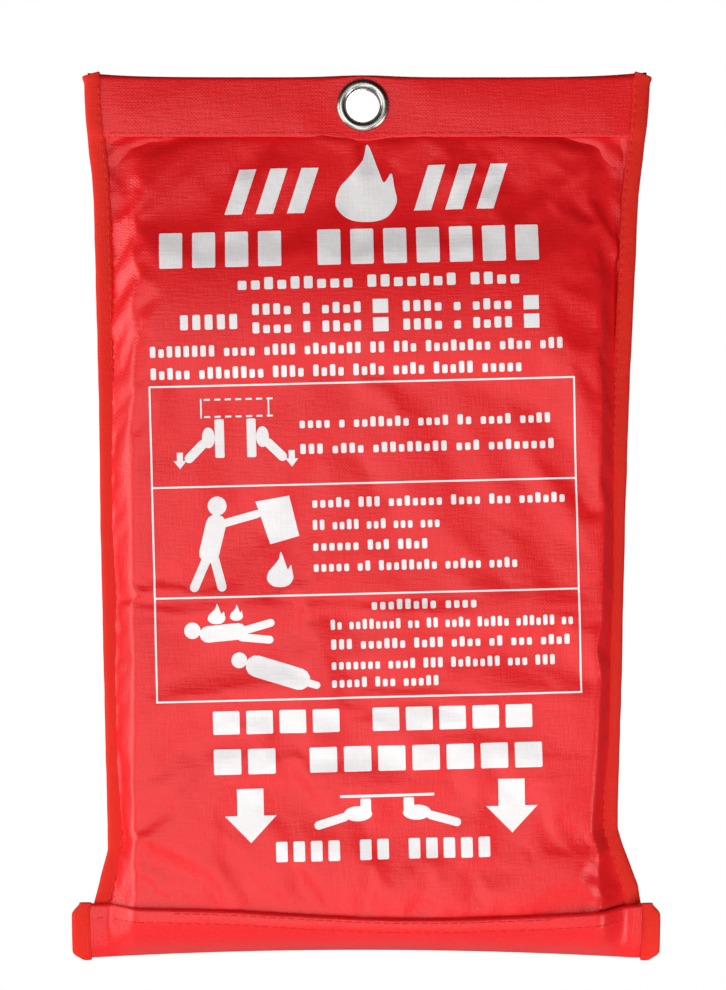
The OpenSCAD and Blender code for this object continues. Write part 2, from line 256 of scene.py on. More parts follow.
def coated_fabric(name, dark, light, pitch=0.62, smooth=0.31, rough_end=0.45, shine=0.42):
    """PVC-coated woven polyester: the weave shows through a satin coat, with painted shade in its low places.
    """
    s = Shader(name)
    weave = s.weave(pitch)
    broad = s.noise(38, 2)
    yarn = s.math("ADD", s.threads(5, pitch), s.threads(5, pitch, upright=True))
    patches = s.span(s.noise(6, 2), 0, 0.9)
    weave = s.math("MULTIPLY", weave, patches)
    # Colour: random tone from the broad noise and the yarn noise, plus painted shade from the weave's height,
    # so its low places are painted darker.
    shade = s.math("ADD", s.span(broad, 0, 0.7), s.math("MULTIPLY", s.math("ADD", weave, yarn), 0.16))
    s.two_tone(shade, dark, light)
    fine = s.bump(s.math("ADD", weave, s.span(yarn, 0, 3)), 0.030)
    soft = s.bump(s.noise(14, 3), 0.30, after=fine)
    rough = s.math("ADD", s.span(s.noise(9, 3), smooth, rough_end), s.math("MULTIPLY", weave, 0.03))
    return s.finish(rough, soft, Specular_IOR_Level=shine)


def fibres(name, dark, light, size, detail, smooth, rough_end, depth):
    """Thread, or hook and loop tape: a surface of fine fibres."""
    s = Shader(name)
    tufts = s.noise(size, detail)
    s.two_tone(tufts, dark, light)
    return s.finish(s.span(tufts, smooth, rough_end), s.bump(tufts, depth))


def nickel(name):
    s = Shader(name)
    wear = s.noise(2.5, 4)
    s.two_tone(wear, (0.40, 0.39, 0.35), (0.58, 0.56, 0.51))
    scratches = s.noise(0.5, 5)
    return s.finish(s.span(wear, 0.18, 0.32), s.bump(scratches, 0.004), Metallic=1)


def ink(name):
    s = Shader(name)
    yarn = s.math("ADD", s.threads(5, 0.62), s.threads(5, 0.62, upright=True))
    broad = s.noise(3, 4)
    s.two_tone(s.math("ADD", broad, s.math("MULTIPLY", yarn, 0.15)), (0.91, 0.85, 0.86), (0.97, 0.95, 0.95))
    return s.finish(s.span(broad, 0.42, 0.6), s.bump(yarn, 0.06))


def glass_cloth(name):
    s = Shader(name)
    weave = s.weave(0.9)
    yarn = s.noise(0.7, 3)
    broad = s.noise(30, 3)
    s.two_tone(s.math("ADD", broad, s.math("MULTIPLY", weave, 0.14)), (0.62, 0.59, 0.50), (0.80, 0.78, 0.71))
    fine = s.bump(s.math("ADD", weave, yarn), 0.08)
    creased = s.bump(s.noise(24, 3), 1.8, after=fine)
    return s.finish(s.span(yarn, 0.5, 0.7), creased, Sheen_Weight=0.15)


def webbing(name):
    s = Shader(name)
    weave = s.weave(1.3, turn=math.radians(45))
    yarn = s.noise(0.6, 3)
    mixed = s.math("ADD", yarn, s.math("MULTIPLY", weave, 0.3))
    s.two_tone(mixed, (0.006, 0.006, 0.007), (0.035, 0.035, 0.038))
    return s.finish(s.span(yarn, 0.5, 0.75), s.bump(s.math("ADD", weave, yarn), 0.16))


# Fibre size in mm, noise detail, lowest and highest roughness, bump depth in mm
THREAD_LOOK = (0.35, 2, 0.45, 0.7, 0.05)
PILE_LOOK = (0.6, 4, 0.7, 0.95, 0.3)
RED_DARK, RED_LIGHT = (0.78, 0.006, 0.009), (0.92, 0.012, 0.016)
FABRIC = coated_fabric("coated_fabric", RED_DARK, RED_LIGHT)
BINDING = coated_fabric("binding_tape", (0.72, 0.020, 0.011), (0.86, 0.032, 0.019), pitch=0.5,
                        smooth=0.52, rough_end=0.68, shine=0.12)
RED_THREAD = fibres("red_thread", (0.70, 0.008, 0.010), (0.90, 0.016, 0.018), *THREAD_LOOK)
NICKEL = nickel("nickel_plate")
INK = ink("white_ink")
GLASS = glass_cloth("glass_cloth")
WHITE_THREAD = fibres("white_thread", (0.60, 0.58, 0.52), (0.85, 0.84, 0.80), *THREAD_LOOK)
WEBBING = webbing("tape_webbing")
TAPE_THREAD = fibres("tape_thread", (0.05, 0.05, 0.05), (0.20, 0.20, 0.20), *THREAD_LOOK)
PILE = fibres("hook_and_loop", (0.22, 0.006, 0.008), (0.42, 0.012, 0.016), *PILE_LOOK)


# --- Mesh helpers ---
def xyz(x, y, z):
    """Points put together from three coordinates, each a number or an array."""
    return np.stack(np.broadcast_arrays(x, y, z), axis=-1)


def unit(values):
    """The values, held between 0 and 1."""
    return np.clip(values, 0, 1)


def new_piece(name, points_mm, faces, material):
    piece = add_mesh(name, (np.asarray(points_mm, float) * MM).tolist(), faces)
    piece.data.update()
    piece.data.shade_smooth()
    piece.data.materials.append(material)
    return piece


def grid_faces(rows, columns, flip=False):
    """Faces of a grid whose rows run down and columns run right; they face -Y, or +Y if flipped."""
    i, j = np.meshgrid(np.arange(rows - 1), np.arange(columns - 1), indexing="ij")
    a = (i * columns + j).ravel()
    quads = np.stack([a, a + columns, a + columns + 1, a + 1], axis=1)
    return (quads[:, ::-1] if flip else quads).tolist()


def tube_faces(rings, around, base=0):
    """Faces of a tube with flat ends, whose points run ring by ring from number base."""
    last = base + (rings - 1) * around
    faces = []
    for ring in range(base, last, around):
        for k in range(around):
            a, b = ring + k, ring + (k + 1) % around
            faces.append((a, b, b + around, a + around))
    return faces + [tuple(range(base, base + around))[::-1], tuple(range(last, last + around))]


def grid_piece(name, grid, material, flip=False):
    return new_piece(name, grid.reshape(-1, 3), grid_faces(*grid.shape[:2], flip), material)


def thicken(piece, thickness_mm, offset=-1.0):
    change = piece.modifiers.new("thickness", "SOLIDIFY")
    change.thickness = thickness_mm * MM
    change.offset = offset


CLOTH_T = 0.5
TAPE_T = 0.45


def finish_cloth(piece, thickness_mm=CLOTH_T):
    """Smooths a sheet once more and gives it its thickness."""
    change = piece.modifiers.new("refine", "SUBSURF")
    change.levels = change.render_levels = 1
    change.boundary_smooth = "PRESERVE_CORNERS"
    thicken(piece, thickness_mm)
    return piece


def attach(piece, body, node):
    """Hides the CAD node that a piece stands for, and hangs the piece on the body it rides on.

    Blender adds .001 to a material's name where the frame already has one of that name.
    """
    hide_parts(node)
    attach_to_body(piece, body)


def ripple(points, size_mm, seed):
    """Smooth noise from -1 to 1 at each point, with features of about this size."""
    shift = Vector((seed * 17.3, seed * -9.1, seed * 5.7))
    flat = np.asarray(points, float).reshape(-1, 3) / size_mm
    values = [noise.noise(Vector(p) + shift) for p in flat]
    return np.array(values).reshape(np.asarray(points).shape[:-1])


def smooth_min(a, b, reach):
    h = unit(0.5 + 0.5 * (b - a) / reach)
    return b * (1 - h) + a * h - reach * h * (1 - h)


def smooth_max(a, b, reach):
    return -smooth_min(-a, -b, reach)


def box_mm(node):
    low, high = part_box(node)
    return np.array(low) / MM, np.array(high) / MM


# --- The pouch's shape, from the frame ---
band_low, band_high = box_mm("header_band")
pack_low, pack_high = box_mm("folded_blanket")
flap_low, flap_high = box_mm("flap_front")

TOP = band_high[2]
HEADER_LINE = band_low[2]
MOUTH = box_mm("side_binding_right")[0][2]
FULL_DEPTH = -box_mm("front_panel")[0][1]
BINDING_W = 5.8
SEAM_DEPTH = 0.6


def binding_outline():
    """Height and outer half width at each station of the CAD binding, from the bottom up."""
    stations = {}
    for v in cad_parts["side_binding_right"].data.vertices:
        z = round(v.co.z / MM, 1)
        stations[z] = max(stations.get(z, 0.0), v.co.x / MM)
    heights = sorted(stations)
    return np.array(heights), np.array([stations[z] for z in heights])


STATION_Z, STATION_X = binding_outline()
BOW = 2.0
LEAN = 1.4
WAIST_RISE = 7.0
FLARE = 3.0
BINDING_TURN = {-1: 0.04, 1: 0.30}
SIDES = {-1: "left", 1: "right"}


def edge(side, z):
    """Distance from the middle to the pouch's outer edge, left (-1) or right (1)."""
    z = np.asarray(z, float)
    down = unit((TOP - z) / (TOP - MOUTH + 19))
    rise = WAIST_RISE * unit((-190 - z) / 40) if side > 0 else 0.0
    straight = np.interp(z - rise, STATION_Z, STATION_X)
    lean = LEAN * unit(1 - 2 * down)
    start = unit((2 - z) / 36)
    bow = BOW * start**2 * (3 - 2 * start) * unit((z + 248) / 150)
    flare = FLARE * unit((-238 - z) / 26) ** 1.6 if side > 0 else 0.0
    return straight - bow + flare + side * lean


def turned_back(x, z):
    """How far the bound edges turn back: nothing at the seam, most at the outer edge."""
    past = {side: np.clip(BINDING_W - edge(side, z) + side * x, 0, BINDING_W) for side in SIDES}
    return BINDING_TURN[-1] * past[-1] + BINDING_TURN[1] * past[1]


TAPER_SLOPE = 0.2
TAPER_ROUND = 2.2
CREASE = {-1: 74.4, 1: 77.6}


def full_depth(z):
    """Depth of the face at the middle: a straight slope from the header, then even."""
    slope = 1.0 + TAPER_SLOPE * (HEADER_LINE - 0.5 - np.asarray(z, float))
    return np.maximum(smooth_min(slope, FULL_DEPTH - 0.4, TAPER_ROUND), SEAM_DEPTH)


def face_depth(x, z):
    """Depth of the cloth in front of the middle plane, over the whole face."""
    x, z = np.broadcast_arrays(np.asarray(x, float), np.asarray(z, float))
    depth = np.empty(x.shape)
    for side in (-1, 1):
        mine = x >= 0 if side > 0 else x < 0
        a, h = np.abs(x[mine]), z[mine]
        seam = edge(side, h) - BINDING_W + 0.4
        corner = np.minimum(CREASE[side], seam - 3.5)
        full = full_depth(h)
        tent = SEAM_DEPTH + (full - SEAM_DEPTH) * (seam - a) / (seam - corner)
        crown = full * (1 - 0.05 * (a / 76) ** 4)
        depth[mine] = smooth_max(smooth_min(tent, crown, 1.6), SEAM_DEPTH, 0.5)
    return depth


PANEL_COLUMNS = 116
PANEL_STEP = 1.7


def panel_grid(bottom):
    """x, z of a grid over the face, from under the header down to bottom(x)."""
    share = np.linspace(-1, 1, PANEL_COLUMNS)
    top = HEADER_LINE + 4.0
    rows = int((top - MOUTH) / PANEL_STEP)
    z = np.linspace(top, MOUTH, rows)[:, None] * np.ones(PANEL_COLUMNS)
    left, right = edge(-1, z) - 1.2, edge(1, z) - 1.2
    x = np.where(share < 0, share * left, share * right)
    tail = unit((-225 - z) / (-225 - MOUTH))
    return x, z + tail * (bottom(x) - MOUTH)


FLAP_TOP = flap_high[2]
FLAP_DIP = [(-96, 0), (-76, 0.1), (-43, 0.9), (-14, 2.6), (6, 3.6), (28, 3.6),
            (56, 2.7), (70, 1.9), (80, 1.3), (88, 0.3), (96, 0)]
FLAP_HALF = flap_high[0]
FLAP_SHIFT = 1.0
FOLD_Y = 1.5
FOLD_RISE = 2.6


def flap_top(x):
    """Height of the flap's upper edge, which dips between its ends."""
    stations, dips = np.array(FLAP_DIP).T
    spread = np.linspace(-8, 8, 9)
    return FLAP_TOP - np.mean([np.interp(x + d, stations, dips) for d in spread], axis=0)


def lip(x):
    """Height of the front panel's lower edge: tucked behind the flap between the seams."""
    inner = unit((84 - np.abs(x)) / 8)
    return MOUTH * (1 - inner) + (flap_top(x) - 4.5) * inner


CREASE_RUNS = [
    # side, seam height, pack-edge height, width, height
    (-1, -12, -28, 2.6, 0.9),
    (-1, -40, -28, 2.2, 0.7),
    (-1, -40, -57, 2.8, 0.9),
    (-1, -72, -57, 3, 0.5),
    (1, -14, -26, 3, 0.7),
    (1, -48, -30, 3.2, 0.6),
    (1, -252, -236, 3, 0.6),
    (-1, -256, -238, 3, 0.7),
]


def fold_height(x, z):
    """Folds that zigzag between the side seams and the edges of the pack."""
    height = np.zeros(x.shape)
    for side, seam_z, pack_z, width, rise in CREASE_RUNS:
        start = np.array([side * (edge(side, seam_z) - BINDING_W), seam_z])
        end = np.array([side * (CREASE[side] - 4.0), pack_z])
        along = end - start
        length = np.hypot(*along)
        u = ((x - start[0]) * along[0] + (z - start[1]) * along[1]) / length**2
        off = ((x - start[0]) * along[1] - (z - start[1]) * along[0]) / length
        fade = unit(1 - np.abs(np.clip(u, -0.6, 1.6) - 0.5) / 0.9)
        height += rise * fade * np.exp(-((off / width) ** 2))
        height -= 0.45 * rise * fade * np.exp(-(((off - 1.9 * width) / width) ** 2))
    return height


def face_points(x, z, seed, out=-1):
    """Points of a panel's outer face, with soft waves, and folds on the front."""
    depth = face_depth(x, z)
    flat = xyz(x, 0, z)
    inside = unit((depth - SEAM_DEPTH) / 3.0)
    waves = 0.55 * ripple(flat, 52, seed) + 0.22 * ripple(flat * (1, 1, 0.6), 17, seed + 1)
    depth = depth + inside * waves
    if out < 0:
        depth = depth + inside * fold_height(x, z)
    return xyz(x, out * depth + turned_back(x, z), z)


SIM_SCALE = 10.0
SIM_FRAMES = 24
SLACK = 0.012
MOST_MOVED = 2.4
SIM_GAP = 0.004
BORDER = 2
HELD_ROWS = 3
CLOTH_SETTINGS = {
    "quality": 6,
    "mass": 0.25,
    "tension_stiffness": 25,
    "compression_stiffness": 25,
    "shear_stiffness": 12,
    "bending_stiffness": 0.15,
    "air_damping": 3,
    "shrink_min": -SLACK,
    "shrink_max": -SLACK,
    "vertex_group_mass": "sewn",
}


def pack_proxy(out):
    """Two sheets just inside the cloth, for the simulated panel to rest on."""
    x = np.linspace(-1, 1, 41) * (pack_high[0] - 1.5)
    z = np.linspace(pack_high[2], pack_low[2], 60)
    x, z = np.meshgrid(x, z)
    depth = np.minimum(face_depth(x, z) - 1.1, FULL_DEPTH - 1.6)
    shell = xyz(x, out * depth, z)
    back = xyz(x, -out * 2.0, z)
    rows, columns = x.shape
    points = np.concatenate([shell.reshape(-1, 3), back.reshape(-1, 3)])
    faces = grid_faces(rows, columns, flip=out > 0)
    faces += [tuple(v + rows * columns for v in f) for f in grid_faces(rows, columns, flip=out < 0)]
    return (points * MM * SIM_SCALE).tolist(), faces


def crumple(start, out):
    """The grid after a short cloth simulation: cut a little large and sewn down all round."""
    rows, columns = start.shape[:2]
    scene = bpy.context.scene
    body = add_mesh("sim_body", *pack_proxy(out))
    points = start.reshape(-1, 3) * MM * SIM_SCALE
    cloth = add_mesh("sim_cloth", points.tolist(), grid_faces(rows, columns, flip=out > 0))
    body.modifiers.new("collision", "COLLISION")
    body.collision.thickness_outer = SIM_GAP
    body.collision.cloth_friction = 5.0
    i, j = np.meshgrid(np.arange(rows), np.arange(columns), indexing="ij")
    border = (i < BORDER) | (i >= rows - HELD_ROWS) | (j < BORDER) | (j >= columns - BORDER)
    held = cloth.vertex_groups.new(name="sewn")
    held.add(np.flatnonzero(border.ravel()).tolist(), 1.0, "REPLACE")
    change = cloth.modifiers.new("cloth", "CLOTH")
    for key, value in CLOTH_SETTINGS.items():
        setattr(change.settings, key, value)
    change.settings.effector_weights.gravity = 0.0
    change.collision_settings.distance_min = SIM_GAP
    change.collision_settings.use_self_collision = False
    change.point_cache.frame_start = 1
    change.point_cache.frame_end = SIM_FRAMES
    for number in range(1, SIM_FRAMES + 1):
        scene.frame_set(number)
    shown = cloth.evaluated_get(bpy.context.evaluated_depsgraph_get())
    moved = np.array([v.co[:] for v in shown.to_mesh().vertices])
    shown.to_mesh_clear()
    for thing in (cloth, body):
        data = thing.data
        bpy.data.objects.remove(thing)
        bpy.data.meshes.remove(data)
    scene.frame_set(1)
    shift = moved.reshape(start.shape) / (MM * SIM_SCALE) - start
    far = np.linalg.norm(shift, axis=-1, keepdims=True)
    return start + shift * np.minimum(1, MOST_MOVED / np.maximum(far, 1e-6))


def make_front_panel():
    x, z = panel_grid(lip)
    piece = finish_cloth(grid_piece("front_panel_cloth", crumple(face_points(x, z, 3), -1), FABRIC))
    attach(piece, "pouch", "front_panel")
    return piece


def make_back_panel():
    """The back cloth runs on below the mouth, down to the flap's bottom fold."""
    x, z = panel_grid(lambda row: MOUTH)
    upper = face_points(x, z, 11, out=1)
    foot = base_point(x[-1])
    lower = [upper[-1] + (foot - upper[-1]) * t for t in np.linspace(0, 1, 9)[1:]]
    grid = np.concatenate([crumple(upper, 1), np.array(lower)])
    piece = finish_cloth(grid_piece("back_panel_cloth", grid, FABRIC, flip=True))
    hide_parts("back_panel", "flap_base")
    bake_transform(piece)


# --- Flap ---
flap_binding_reach = box_mm("flap_binding_right")[1][0]
BASE_END_Y = 4.4
BASE_END_RISE = 2.8
HEM_H = 5.4
FLAP_SEAT = 1.5
FLAP_FLAT = 2.1


def fold_z(x):
    """Height of the flap's bottom fold, which rises a little towards the middle."""
    return flap_low[2] + FOLD_RISE * (1 - np.minimum(1, np.abs(x) / 90) ** 2)


def base_point(x):
    """Where the back cloth meets the flap's own, just behind the bottom fold."""
    wide = FLAP_SHIFT + x * (flap_high[0] - 3.6) / np.max(np.abs(x))
    return xyz(wide, BASE_END_Y, fold_z(wide) + BASE_END_RISE)


def flap_section(x, t):
    """The flap's outer surface at x, from its upper edge (t = 0) to its fold (t = 1)."""
    top, low = flap_top(x), fold_z(x)
    out = smooth_max(face_depth(x, top) + FLAP_SEAT, FLAP_FLAT, 2.0)
    height = top - low
    hem = (-out - 0.04 * out - 0.3, top - 0.62 * height)
    y = (1 - t) ** 2 * -out + 2 * t * (1 - t) * hem[0] + t**2 * FOLD_Y
    z = (1 - t) ** 2 * top + 2 * t * (1 - t) * hem[1] + t**2 * low
    sway = 0.7 * ripple(xyz(x, 0, 7 * t), 26, 21) * np.sin(np.pi * unit(t))
    return y - sway, z


def corner_cut(t):
    """How far the flap's folded-in corners fall short of its full width."""
    upper, lower = unit(1 - t / 0.15), unit(1 - (0.985 - t) / 0.12)
    return 2.6 * upper**1.3 + 3.0 * lower**1.3


def hem_step(down):
    """The doubled hem stands out from the single cloth below it."""
    return 0.26 / (1 + np.exp((down - HEM_H) / 0.35))


PUCKER = 0.32


def pucker_step(x, z):
    """The cloth stands out a little above a wavy line along the foot of the flap."""
    line = fold_z(x) + 2.4 + 1.5 * ripple(xyz(x, 0, 0), 24, 25)
    return PUCKER / (1 + np.exp((line - z) / 0.22))


def flap_rows():
    """Each row of the flap cloth: its place along the section, and how far it is set back."""
    inner = [(0.26, 1.25), (0.15, 1.2), (0.05, 1.1), (-0.005, 0.8), (-0.02, 0.35)]
    outer = np.concatenate([[0.02], np.linspace(0.06, 0.74, 16), np.linspace(0.77, 1.0, 12)])
    return inner + [(t, 0.0) for t in outer]


def make_flap():
    share = np.linspace(-1, 1, 120)
    grid = []
    for t, back_by in flap_rows():
        x = FLAP_SHIFT + share * (FLAP_HALF - 0.6 - corner_cut(t))
        y, z = flap_section(x, np.full_like(x, t))
        lift = hem_step(flap_top(x) - z) + pucker_step(x, z) if back_by == 0.0 else 0.0
        grid.append(xyz(x, y - lift + back_by, z))
    foot = base_point(x)
    foot[:, 0] = x
    grid += [grid[-1] + (0, 1.4, 0.1), foot]
    piece = finish_cloth(grid_piece("flap_cloth", np.array(grid), FABRIC))
    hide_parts("flap_front")
    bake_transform(piece)


# Across the binding's section: how far in from the outer edge, how far out of the flap's surface
FLAP_TAPE = [(6.3, 0.45), (6, 0.95), (4.6, 1.15), (2.4, 1.15), (0.7, 0.85), (0.05, 0.1),
             (0.05, -1.3), (0.7, -2), (2.4, -2.2), (4.6, -2.2), (6, -2.1), (6.3, -1.7)]


def section_frame(x, t):
    """Points of the flap's outer surface and the direction that points out of it."""
    y, z = flap_section(x, t)
    y2, z2 = flap_section(x, t + 0.01)
    out = xyz(0, z2 - z, y - y2)
    return xyz(x, y, z), out / np.linalg.norm(out, axis=-1, keepdims=True)


def make_flap_binding(side):
    name = "flap_binding_" + SIDES[side]
    t = np.linspace(-0.03, 0.985, 32)
    rows = []
    for inset, lift in FLAP_TAPE:
        x = FLAP_SHIFT + side * (flap_binding_reach - inset - corner_cut(t) * (1 - inset / 7.0))
        points, out = section_frame(x, t)
        slack = 0.12 * ripple(points, 3.5, 31 + side)
        rows.append(points + out * (lift + slack)[:, None])
    grid = np.stack(rows, axis=1)
    grid[:, :, 2] -= 0.25 * np.abs(np.linspace(-1, 1, len(t)))[:, None] ** 8
    piece = grid_piece(name + "_tape", grid, BINDING, flip=side < 0)
    attach(finish_cloth(piece, TAPE_T), "flap_front", name)


def surface_strip(name, node, rows, body):
    """A thin strip of hook or loop tape with a ragged pile on it."""
    attach(finish_cloth(grid_piece(name, np.array(rows), PILE)), body, node)


STRIP_HALF = 62.0


def make_strips():
    x = np.linspace(-STRIP_HALF, STRIP_HALF, 160)
    loops, hooks = [], []
    for down in np.linspace(0.9, 4.3, 7):
        fuzz = 0.15 * ripple(xyz(x, down, 0), 0.9, 41)
        z = flap_top(x) - down
        loops.append(xyz(x, -(face_depth(x, z) + 0.75 + fuzz), z))
        y, _ = flap_section(x, (down - 0.2) / (flap_top(x) - fold_z(x)))
        hooks.append(xyz(x, y + 1.35 + fuzz, z))
    surface_strip("loop_tape", "loop_strip", loops, "pouch")
    surface_strip("hook_tape", "hook_strip", hooks, "flap_front")


# --- Header and bindings ---
EYELET_R = box_mm("eyelet_barrel")[1][0]
SEAT_Y = box_mm("eyelet_washer")[0][1]
FOLD_START = TOP - 0.6
FOLD_TURNS = np.radians([25, 60, 90, 120, 155])
HEADER_COLUMNS = 150
HEADER_ROWS = 15
HOLE_CUT = 2.6


def top_edge(x):
    """Height of the header's top edge, which lifts at the corners and over the eyelet."""
    return TOP + 0.5 + 1.7 * (np.abs(x) / 92) ** 7 + 0.7 * np.exp(-((x / 13) ** 2))


def header_depth(x, z):
    """Half thickness of the header, pressed flat by the eyelet and the bindings."""
    flat = xyz(x, 0, z)
    puff = 1.0 + 0.6 * ripple(flat * (1, 1, 1.6), 34, 51) + 0.15 * ripple(flat, 9, 52)
    away = unit((np.hypot(x, z) - EYELET_R) / 13)
    height = unit((z - HEADER_LINE) / (TOP - HEADER_LINE))
    bound = unit((edge(1, z) - LEAN - BINDING_W + 1 - np.abs(x)) / 15)
    held = away * bound * (2 - bound)
    return SEAT_Y + 0.06 + np.maximum(puff, 0.1) * held * (1 - 0.75 * height**3)


def open_hole(grid, inner=3.0, outer=14.0, edge_r=6.3):
    """Spreads the grid round the eyelet, so that a round hole opens in it."""
    r = np.hypot(grid[..., 0], grid[..., 2])
    wanted = edge_r + (np.maximum(r, inner) - inner) * (outer - edge_r) / (outer - inner)
    factor = np.where(r < outer, wanted / np.maximum(r, 1e-6), 1.0)
    grid[..., 0] *= factor
    grid[..., 2] *= factor
    return grid


def header_row(z):
    """The x of each point of a row of the header, which ends inside the bindings."""
    return np.linspace(1.3 - edge(-1, z), edge(1, z) - 1.3, HEADER_COLUMNS)


def make_header():
    """Front rows from the bottom up, over the top fold, and down the back, with the eyelet's hole."""
    x = header_row(TOP)
    heights = np.linspace(HEADER_LINE - 0.3, FOLD_START, HEADER_ROWS)
    rows = [xyz(header_row(z), sign, z) for sign in (-1, 1) for z in heights[::-sign]]
    grid = open_hole(np.array(rows))
    depth = header_depth(grid[..., 0], grid[..., 2])
    grid[..., 1] = np.sign(grid[..., 1]) * depth + turned_back(grid[..., 0], grid[..., 2])
    depth = header_depth(x, np.full_like(x, FOLD_START))
    back = turned_back(x, TOP)
    rise = top_edge(x) - FOLD_START
    fold = [xyz(x, back - depth * math.cos(a), FOLD_START + rise * math.sin(a)) for a in FOLD_TURNS]
    grid = np.concatenate([grid[:HEADER_ROWS], np.array(fold), grid[HEADER_ROWS:]])
    levels = np.concatenate([heights, np.full(len(fold), TOP), heights[::-1]])
    faces = []
    for face in grid_faces(*grid.shape[:2], flip=True):
        across = np.mean([x[v % HEADER_COLUMNS] for v in face])
        up = np.mean([levels[v // HEADER_COLUMNS] for v in face])
        if np.hypot(across, up) >= HOLE_CUT:
            faces.append(face)
    piece = new_piece("header_band_cloth", grid.reshape(-1, 3), faces, FABRIC)
    attach(finish_cloth(piece), "pouch", "header_band")


# Round the front half of the binding's section: how far in from the outer edge, and y
TAPE_FRONT = [(5.9, -0.75), (5.75, -1.25), (4.9, -1.6), (3.4, -1.75), (1.8, -1.7), (0.6, -1.35), (0.05, -0.6)]
TAPE_SECTION = TAPE_FRONT + [(inset, -y) for inset, y in TAPE_FRONT[::-1]]


def tape_top_slope(z, inset):
    """The tape's cut end drops towards its outer edge."""
    return -0.28 * (BINDING_W - inset) * unit((z - TOP + 6) / 8)


def tape_stretch(z):
    """The binding is thicker where it holds the doubled header."""
    return 1.0 + 0.35 * unit((z - HEADER_LINE + 1) / 3)


def tape_wave(side, z):
    """Slow waves of a side binding, towards the wall and back."""
    return 0.35 * ripple(xyz(0, 0, z), 23, 61 + side)


def make_side_binding(side):
    name = "side_binding_" + SIDES[side]
    z = np.arange(MOUTH, TOP + 2.2, 1.15)[::-1]
    columns = []
    for inset, y in TAPE_SECTION:
        pucker = 0.10 * np.sin(z * 2 * np.pi / STITCH_PITCH) * np.exp(-((inset - 5.0) ** 2) / 1.2)
        slack = 0.10 * ripple(xyz(inset, y, z), 4, 63 + side)
        ragged = 0.15 * ripple(xyz(y, 0, z), 6, 65 + side)
        turned = BINDING_TURN[side] * (BINDING_W - inset)
        depth = y * tape_stretch(z) - tape_wave(side, z) + turned - np.sign(y) * (pucker - slack)
        columns.append(xyz(side * (edge(side, z) - inset + ragged), depth, z + tape_top_slope(z, inset)))
    piece = grid_piece(name + "_tape", np.stack(columns, axis=1), BINDING, flip=side < 0)
    attach(finish_cloth(piece, TAPE_T), "pouch", name)


# --- Stitches ---
STITCH_PITCH = 3.1
STITCH_LENGTH = 2.5
STITCH_SIDES = 6
STITCH_SINK = 0.15
THREAD_D = 0.36
# Along a stitch from -0.5 to 0.5, and its radius there as a share of the thread's
STITCH_RINGS = [(-0.5, 0.25), (-0.46, 0.7), (-0.36, 0.95), (0, 1), (0.36, 0.95), (0.46, 0.7), (0.5, 0.25)]


def stitch(centre, along, across, out):
    """Points of a rounded stick whose ends dip into the cloth, ring by ring."""
    points = []
    for u, share in STITCH_RINGS:
        radius = THREAD_D / 2 * share
        for k in range(STITCH_SIDES):
            a = 2 * math.pi * k / STITCH_SIDES
            rise = radius * math.sin(a) - STITCH_SINK * (2 * u) ** 2
            points.append(centre + along * u * STITCH_LENGTH + across * radius * math.cos(a) + out * rise)
    return points


def make_stitches(name, runs, body, node, material=RED_THREAD):
    """Rows of stitches that lie on the surface along each run of points."""
    rng = np.random.default_rng(len(name))
    points, faces = [], []
    for run in runs:
        gone = np.concatenate([[0], np.cumsum(np.linalg.norm(np.diff(run, axis=0), axis=1))])
        for s in np.arange(STITCH_PITCH / 2, gone[-1], STITCH_PITCH):
            before, centre, after = [np.array([np.interp(s + d, gone, run[:, k]) for k in range(3)])
                                     for d in (-1, 0, 1)]
            along = after - before
            along /= np.linalg.norm(along)
            across = np.cross(along, (0, -1, 0) + 0.12 * rng.normal(size=3))
            across /= np.linalg.norm(across)
            out = np.cross(across, along)
            along = along + 0.05 * rng.normal() * across
            faces += tube_faces(len(STITCH_RINGS), STITCH_SIDES, len(points))
            points += stitch(centre, along, across, out)
    attach(new_piece(name, points, faces, material), body, node)


def make_pouch_seams():
    for side, word in SIDES.items():
        z = np.arange(MOUTH + 2, TOP - 1, 1.5)[::-1]
        depth = -1.62 * tape_stretch(z) - tape_wave(side, z) + BINDING_TURN[side] * 0.85 - 0.02
        run = xyz(side * (edge(side, z) - 4.95), depth, z)
        make_stitches("side_stitches_" + word, [run], "pouch", "side_seam_" + word)
    x = np.arange(-84, 84, 1.5)
    z = np.full_like(x, HEADER_LINE + 0.9)
    run = xyz(x, -header_depth(x, z) - 0.1, z)
    make_stitches("header_stitches", [run], "pouch", "header_seam")


def make_loop_seam():
    x = np.arange(-60, 60, 1.5)
    z = flap_top(x) - 1.6
    run = xyz(x, -(face_depth(x, z) + 1.05), z)
    make_stitches("loop_tape_stitches", [run], "pouch", "loop_strip_seam")


def flap_run(down, reach):
    """A line across the flap at this distance below its upper edge."""
    x = np.arange(-reach, reach, 1.5)
    t = np.full_like(x, down / 18)
    for _ in range(12):
        _, z = flap_section(x, t)
        t += 0.6 * (down - (flap_top(x) - z)) / (flap_top(x) - fold_z(x))
    y, z = flap_section(x, t)
    return xyz(x, y - hem_step(down) - PUCKER - 0.08, z)


def make_flap_seams():
    make_stitches("flap_hem_stitches", [flap_run(HEM_H - 0.9, 88)], "flap_front", "flap_hem_seam")
    make_stitches("hook_tape_stitches", [flap_run(1.3, 62)], "flap_front", "hook_strip_seam")
    runs = []
    t = np.linspace(0.03, 0.95, 14)
    for side in (-1, 1):
        points, out = section_frame(np.full_like(t, FLAP_SHIFT + side * (flap_binding_reach - 5.3)), t)
        runs.append(points + 1.16 * out)
    make_stitches("flap_binding_stitches", runs, "flap_front", "flap_binding_seams")


# --- Eyelet ---
def finish_eyelet():
    for node in ("eyelet_barrel", "eyelet_washer"):
        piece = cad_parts[node]
        piece.data.materials.clear()
        piece.data.materials.append(NICKEL)
        piece.data.shade_smooth()


# --- Folded blanket ---
SHEET_SIDE = 1000.0
LAYERS_ACROSS = 7
LAYERS_DOWN = 4
RUN_ROWS = 34
GLASS_T = 0.3


